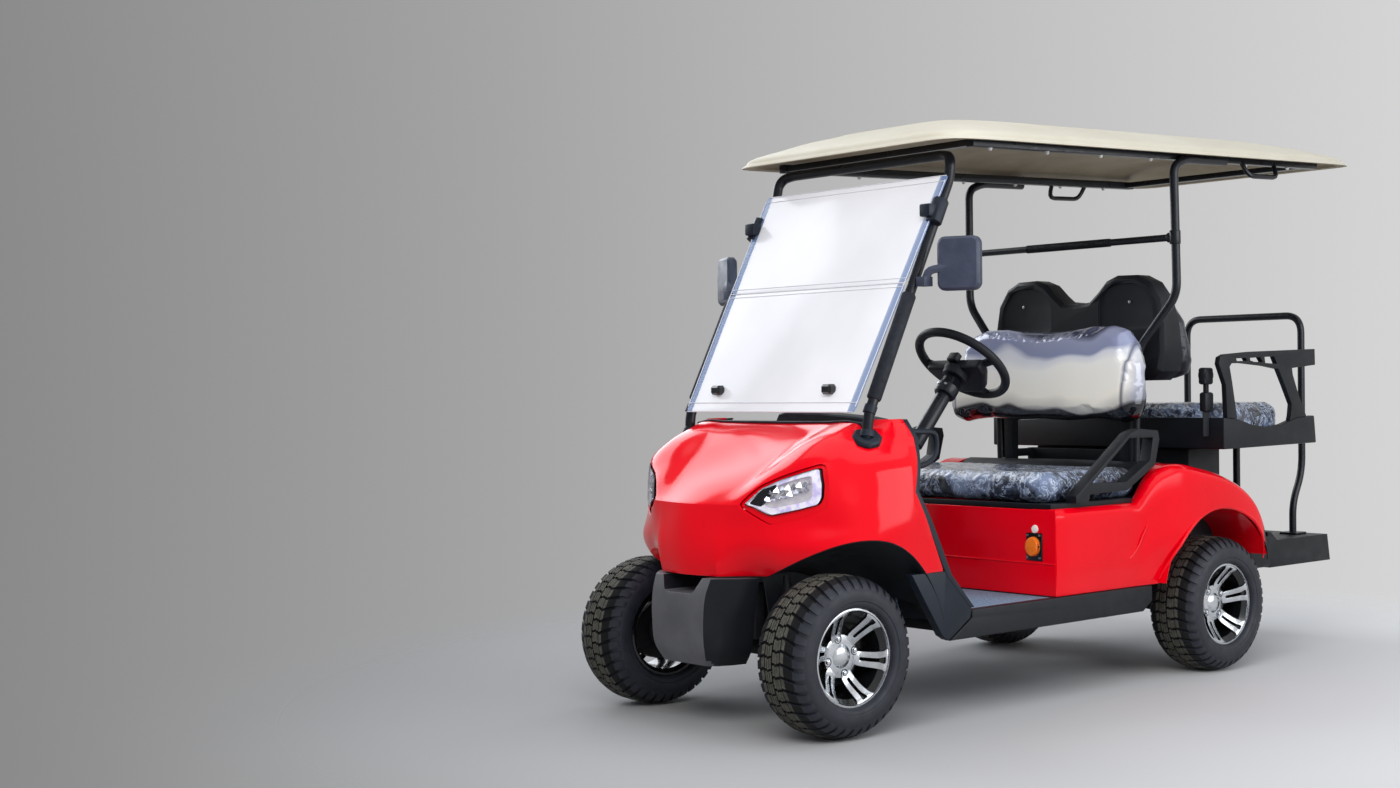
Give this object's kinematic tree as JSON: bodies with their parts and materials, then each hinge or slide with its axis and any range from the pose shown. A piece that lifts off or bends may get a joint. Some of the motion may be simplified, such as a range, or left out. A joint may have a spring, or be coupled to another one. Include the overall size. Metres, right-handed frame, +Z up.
{
  "type": "golf cart",
  "caption": "Open electric golf cart with moulded body, raked windscreen, canopy roof, front and rear-facing benches, rear step with grab hoop, rolling wheels and coupled steering.",
  "frame": {"origin": "middle of the bounding box in plan, on the ground", "axes": "+Z up, the cart faces -Y, +X is the cart's left side"},
  "size_m": [1.221, 2.8074, 1.8894],
  "materials": {
    "red_gloss": "glossy red moulded panel",
    "cream_gloss": "cream moulded canopy",
    "black_tube": "black powder-coated tube",
    "black_plastic": "black moulded plastic with a fine grain",
    "grey_plastic": "dark grey moulded plastic",
    "dark_steel": "black painted chassis steel",
    "tyre_rubber": "black tyre rubber",
    "rim_alloy": "machined alloy with black pockets",
    "vinyl": "dark vinyl under clear film",
    "clear_panel": "clear acrylic",
    "mat_grey": "grey ribbed floor mat",
    "lamp_clear": "clear lamp lens",
    "socket_orange": "orange socket cap"
  },
  "bodies": {
    "chassis": {"front_cowl": "red_gloss", "headlamp_left": "lamp_clear", "headlamp_right": "lamp_clear", "side_trim_left": "black_plastic", "side_trim_right": "black_plastic", "dash": "black_plastic", "front_bumper": "grey_plastic", "floor_pan": "mat_grey", "sill_left": "black_plastic", "sill_right": "black_plastic", "frame_rails": "dark_steel", "rear_body": "red_gloss", "battery_pack": "black_plastic", "charge_socket": "socket_orange", "seat_base": "black_plastic", "front_backrest": "vinyl", "backrest_shell": "black_plastic", "rear_backrest": "vinyl", "rear_tray": "black_plastic", "rear_cushion": "vinyl", "rear_seat_box": "black_plastic", "rear_armrest_left": "black_plastic", "rear_armrest_right": "black_plastic", "hip_restraint_left": "black_plastic", "hip_restraint_right": "black_plastic", "roof": "cream_gloss", "windscreen_hoop": "black_tube", "rear_post_frame": "black_tube", "roof_frame": "black_tube", "windscreen_lower": "clear_panel", "windscreen_upper": "clear_panel", "door_mirror_left": "black_plastic", "door_mirror_right": "black_plastic", "rear_hoop": "black_tube", "rear_step": "black_plastic", "steering_column": "black_plastic", "pedals": "dark_steel", "front_axle_beam": "dark_steel", "rear_axle": "dark_steel"},
    "front_seat_lid": {"front_cushion": "vinyl"},
    "steering_wheel": {"steering_wheel": "black_plastic"},
    "knuckle_left": {"knuckle_left": "dark_steel"},
    "knuckle_right": {"knuckle_right": "dark_steel"},
    "tie_rod": {"tie_rod": "dark_steel"},
    "wheel_front_left": {"rim_front_left": "rim_alloy", "tyre_front_left": "tyre_rubber"},
    "wheel_front_right": {"rim_front_right": "rim_alloy", "tyre_front_right": "tyre_rubber"},
    "wheel_rear_left": {"rim_rear_left": "rim_alloy", "tyre_rear_left": "tyre_rubber"},
    "wheel_rear_right": {"rim_rear_right": "rim_alloy", "tyre_rear_right": "tyre_rubber"}
  },
  "joints": [
    {"name": "steer_left", "type": "hinge", "parent": "chassis", "child": "knuckle_left", "pos_m": [0.335, -1.17425, 0.2295], "axis": [0, 0, 1], "range_deg": [-25, 25]},
    {"name": "steer_right", "type": "hinge", "parent": "chassis", "child": "knuckle_right", "pos_m": [-0.335, -1.17425, 0.2295], "axis": [0, 0, 1], "range_deg": [-25, 25]},
    {"name": "tie_rod_end", "type": "hinge", "parent": "knuckle_left", "child": "tie_rod", "pos_m": [0.335, -1.07425, 0.185], "axis": [0, 0, 1], "range_deg": [-25, 25]},
    {"name": "steering_wheel_turn", "type": "hinge", "parent": "chassis", "child": "steering_wheel", "pos_m": [0.22, -0.44125, 1.052], "axis": [0, 0.6428, 0.766], "range_deg": [-360, 360]},
    {"name": "front_seat_lift", "type": "hinge", "parent": "chassis", "child": "front_seat_lid", "pos_m": [0, -0.32825, 0.611], "axis": [1, 0, 0], "range_deg": [0, 60]},
    {"name": "front_left_wheel_spin", "type": "hinge", "parent": "knuckle_left", "child": "wheel_front_left", "pos_m": [0.43, -1.17425, 0.2295], "axis": [1, 0, 0], "continuous": true},
    {"name": "front_right_wheel_spin", "type": "hinge", "parent": "knuckle_right", "child": "wheel_front_right", "pos_m": [-0.43, -1.17425, 0.2295], "axis": [1, 0, 0], "continuous": true},
    {"name": "rear_left_wheel_spin", "type": "hinge", "parent": "chassis", "child": "wheel_rear_left", "pos_m": [0.4845, 0.47875, 0.2295], "axis": [1, 0, 0], "continuous": true},
    {"name": "rear_right_wheel_spin", "type": "hinge", "parent": "chassis", "child": "wheel_rear_right", "pos_m": [-0.4845, 0.47875, 0.2295], "axis": [1, 0, 0], "continuous": true}
  ],
  "couplings": [
    {"joint": "steer_right", "follows": "steer_left", "ratio": 1},
    {"joint": "tie_rod_end", "follows": "steer_left", "ratio": -1},
    {"joint": "steering_wheel_turn", "follows": "steer_left", "ratio": 14.4}
  ]
}
